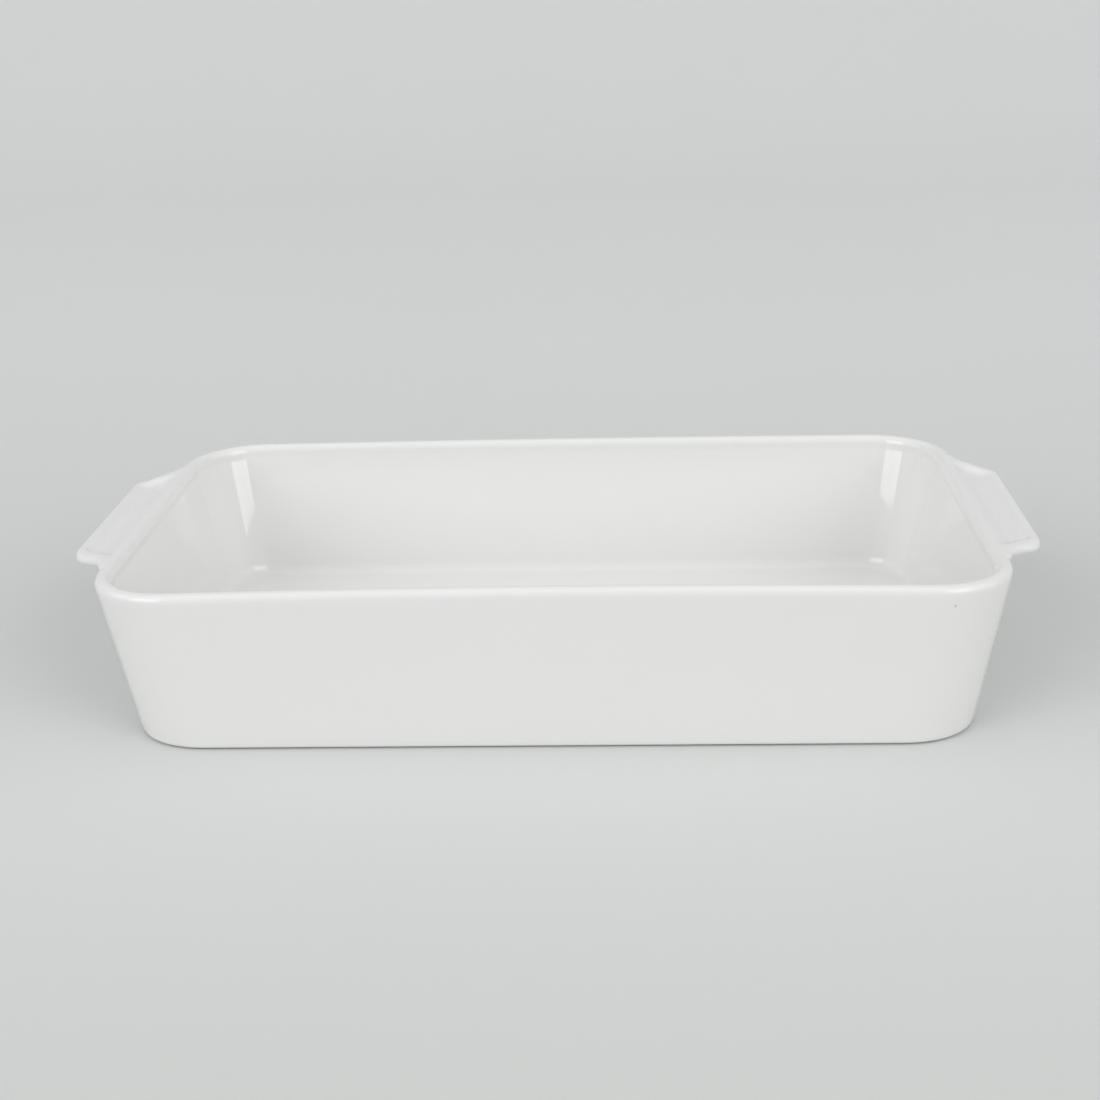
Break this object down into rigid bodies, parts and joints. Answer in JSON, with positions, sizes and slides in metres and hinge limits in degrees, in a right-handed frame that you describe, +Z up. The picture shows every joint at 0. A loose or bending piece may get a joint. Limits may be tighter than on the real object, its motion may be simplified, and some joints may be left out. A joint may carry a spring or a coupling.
{
  "type": "roasting dish",
  "caption": "Rectangular white glazed ceramic roasting dish with tapered walls, a rolled rim and a flat tab handle at each end.",
  "frame": {"origin": "on the resting plane under the middle of the dish", "axes": "+X along the length, from handle to handle; +Y across the width; +Z up, out of the open top"},
  "size_m": [0.38, 0.2082, 0.0676],
  "materials": {
    "glaze": "glossy white glaze over the whole dish"
  },
  "bodies": {
    "root": {"dish_body": "glaze", "handle_left": "glaze", "handle_right": "glaze"}
  },
  "joints": []
}
